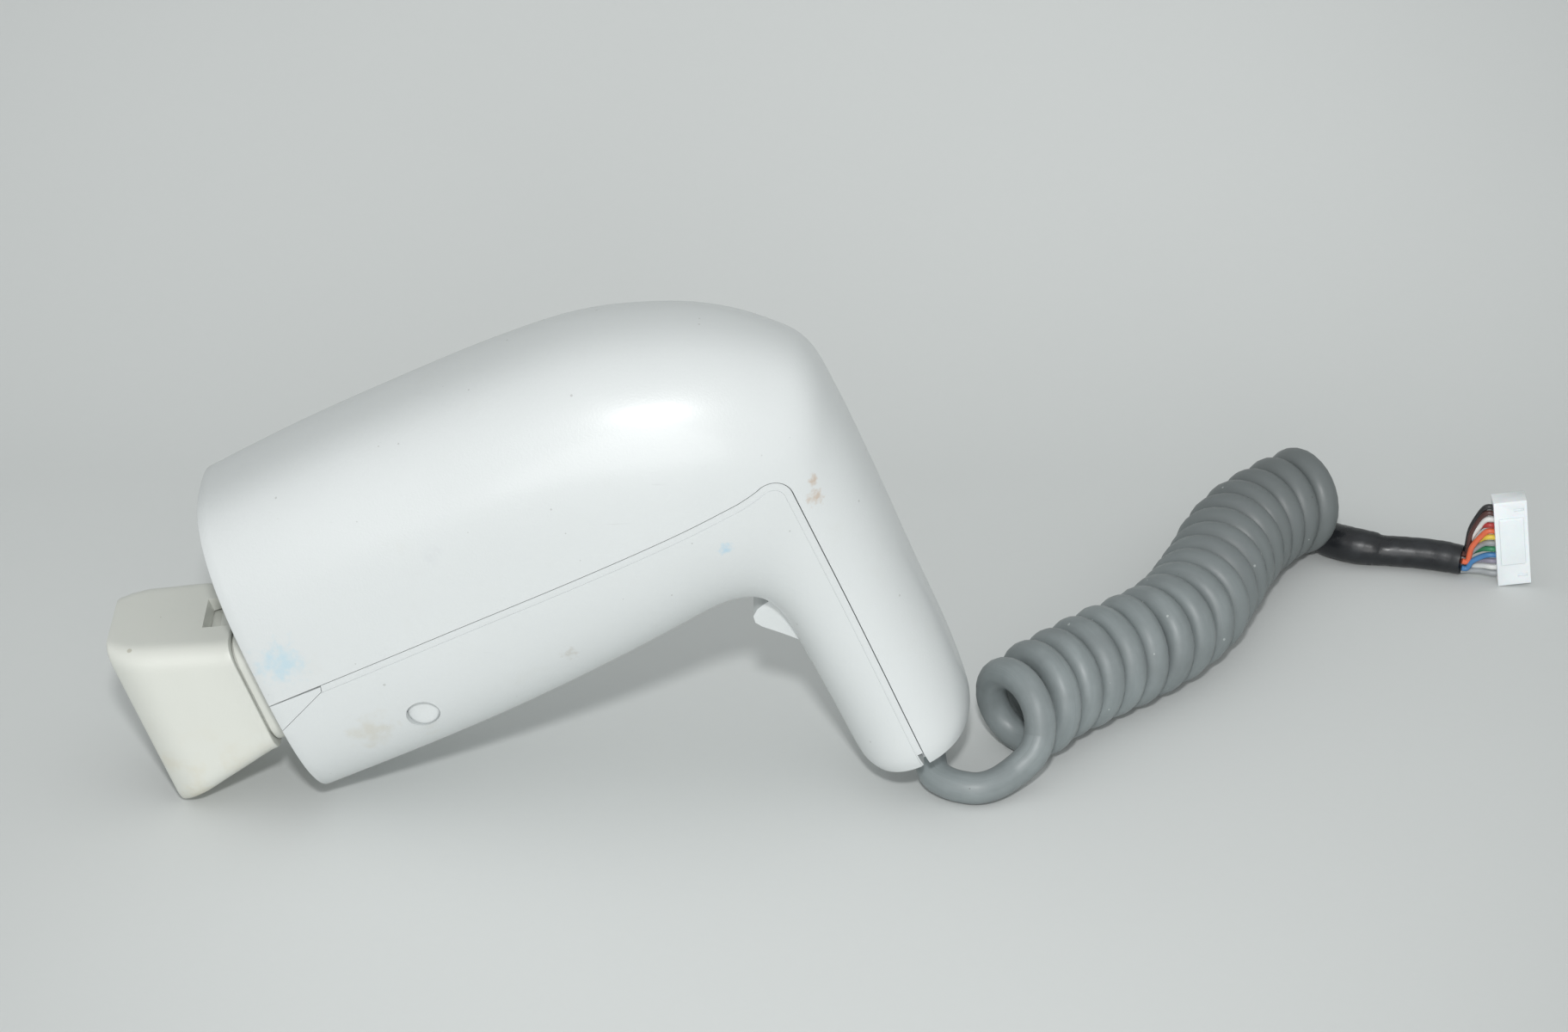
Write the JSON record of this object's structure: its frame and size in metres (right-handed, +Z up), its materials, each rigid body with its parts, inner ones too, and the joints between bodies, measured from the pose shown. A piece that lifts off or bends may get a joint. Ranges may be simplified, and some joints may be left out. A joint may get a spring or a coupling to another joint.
{
  "type": "hair dryer",
  "caption": "Handset hair dryer with an oval barrel, a flat slot nozzle that slides off, a trigger in a raked handle and a curly cord that ends in a small wired plug.",
  "frame": {"origin": "middle of the dryer's bounding box, at the surface that it stands on; the free cord and its plug aren't counted", "axes": "+X from the nozzle towards the handle, +Y to the side with the air slots, +Z up from the surface"},
  "size_m": [0.3579, 0.1655, 0.1244],
  "materials": {
    "shell": "gloss",
    "clip": "gloss",
    "nozzle": "satin",
    "duct": "matte",
    "mica": "matte",
    "wire": "satin",
    "fan": "matte",
    "casing": "matte",
    "steel": "satin",
    "bronze": "satin",
    "trigger": "gloss",
    "switch": "matte",
    "plunger": "matte",
    "board": "satin",
    "grommet": "matte",
    "cord": "satin",
    "sleeve": "satin",
    "wires": "satin",
    "plug": "satin",
    "contact": "satin"
  },
  "bodies": {
    "housing": {"upper_housing": "shell", "lower_housing": "shell", "corner_clips": "clip", "mouth_plate": "shell", "nozzle_collar": "nozzle", "outlet_grille": "duct", "heater_duct": "nozzle", "mica_boards": "mica", "heating_wire": "wire", "thermostat": "steel", "thermal_fuse": "mica", "fan_casing": "casing", "fan_cover": "casing", "motor_can": "steel", "motor_end_cap": "switch", "shaft_bush": "bronze", "lint_screen": "fan", "trigger_pin": "steel", "switch_body": "switch", "circuit_board": "board", "board_parts": "switch", "housing_screws": "steel", "screw_caps": "shell", "cord_clamp": "casing", "clamp_screws": "steel", "cord_grommet": "grommet", "cord_lead": "cord", "cord_coil": "cord", "shrink_sleeve": "sleeve", "lead_wires": "wires", "plug_housing": "plug", "plug_latch": "plug", "plug_contacts": "contact"},
    "air_nozzle": {"nozzle": "nozzle"},
    "rotor": {"fan_wheel": "fan", "motor_shaft": "steel"},
    "trigger_key": {"trigger": "trigger", "trigger_spring": "steel"},
    "plunger": {"switch_plunger": "plunger"}
  },
  "joints": [
    {"name": "nozzle_slide", "type": "slide", "parent": "housing", "child": "air_nozzle", "axis": [-0.9336, 0, -0.3584], "range_m": [0, 0.013]},
    {"name": "fan_spin", "type": "hinge", "parent": "housing", "child": "rotor", "pos_m": [0.02161, 0, 0.08522], "axis": [0, 1, 0], "continuous": true},
    {"name": "trigger_press", "type": "hinge", "parent": "housing", "child": "trigger_key", "pos_m": [0.07052, 0, 0.03713], "axis": [0, 1, 0], "range_deg": [0, 8], "stiffness_Nm_per_rad": 0.4, "springref_deg": -8.59},
    {"name": "plunger_slide", "type": "slide", "parent": "housing", "child": "plunger", "axis": [0.9063, 0, 0.4226], "range_m": [0, 0.0024]}
  ],
  "couplings": [
    {"joint": "plunger_slide", "follows": "trigger_press", "m_per_rad": 0.0168}
  ]
}
